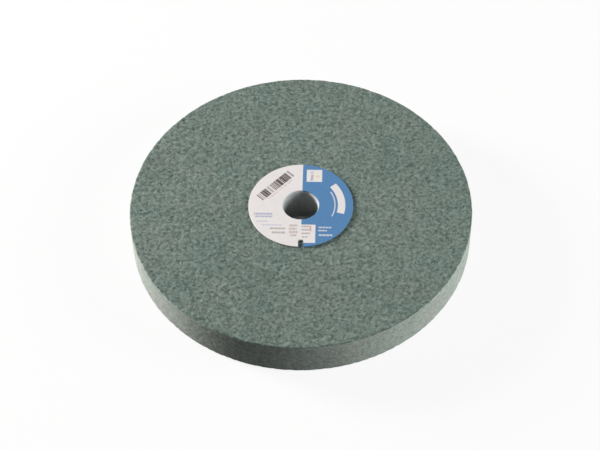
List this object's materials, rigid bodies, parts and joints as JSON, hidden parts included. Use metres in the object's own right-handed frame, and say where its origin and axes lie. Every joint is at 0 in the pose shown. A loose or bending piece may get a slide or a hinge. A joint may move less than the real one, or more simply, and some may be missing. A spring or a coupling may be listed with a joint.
{
  "type": "bench grinding wheel",
  "caption": "Straight green grit grinding wheel with a plastic lined bore and a card washer glued to each face.",
  "frame": {"origin": "centre of the bore at the middle of the wheel's thickness, which is also the centre of the bounding box", "axes": "+Z along the bore axis, out of the printed side; +X to the right and +Y away from a viewer who has the notch of the printed washer nearest"},
  "size_m": [0.175, 0.175, 0.0212],
  "materials": {
    "abrasive": "matte",
    "bush": "satin",
    "printed_card": "matte",
    "plain_card": "matte"
  },
  "bodies": {
    "root": {"abrasive_wheel": "abrasive", "bore_bush": "bush", "front_blotter": "printed_card", "rear_blotter": "plain_card"}
  },
  "joints": []
}
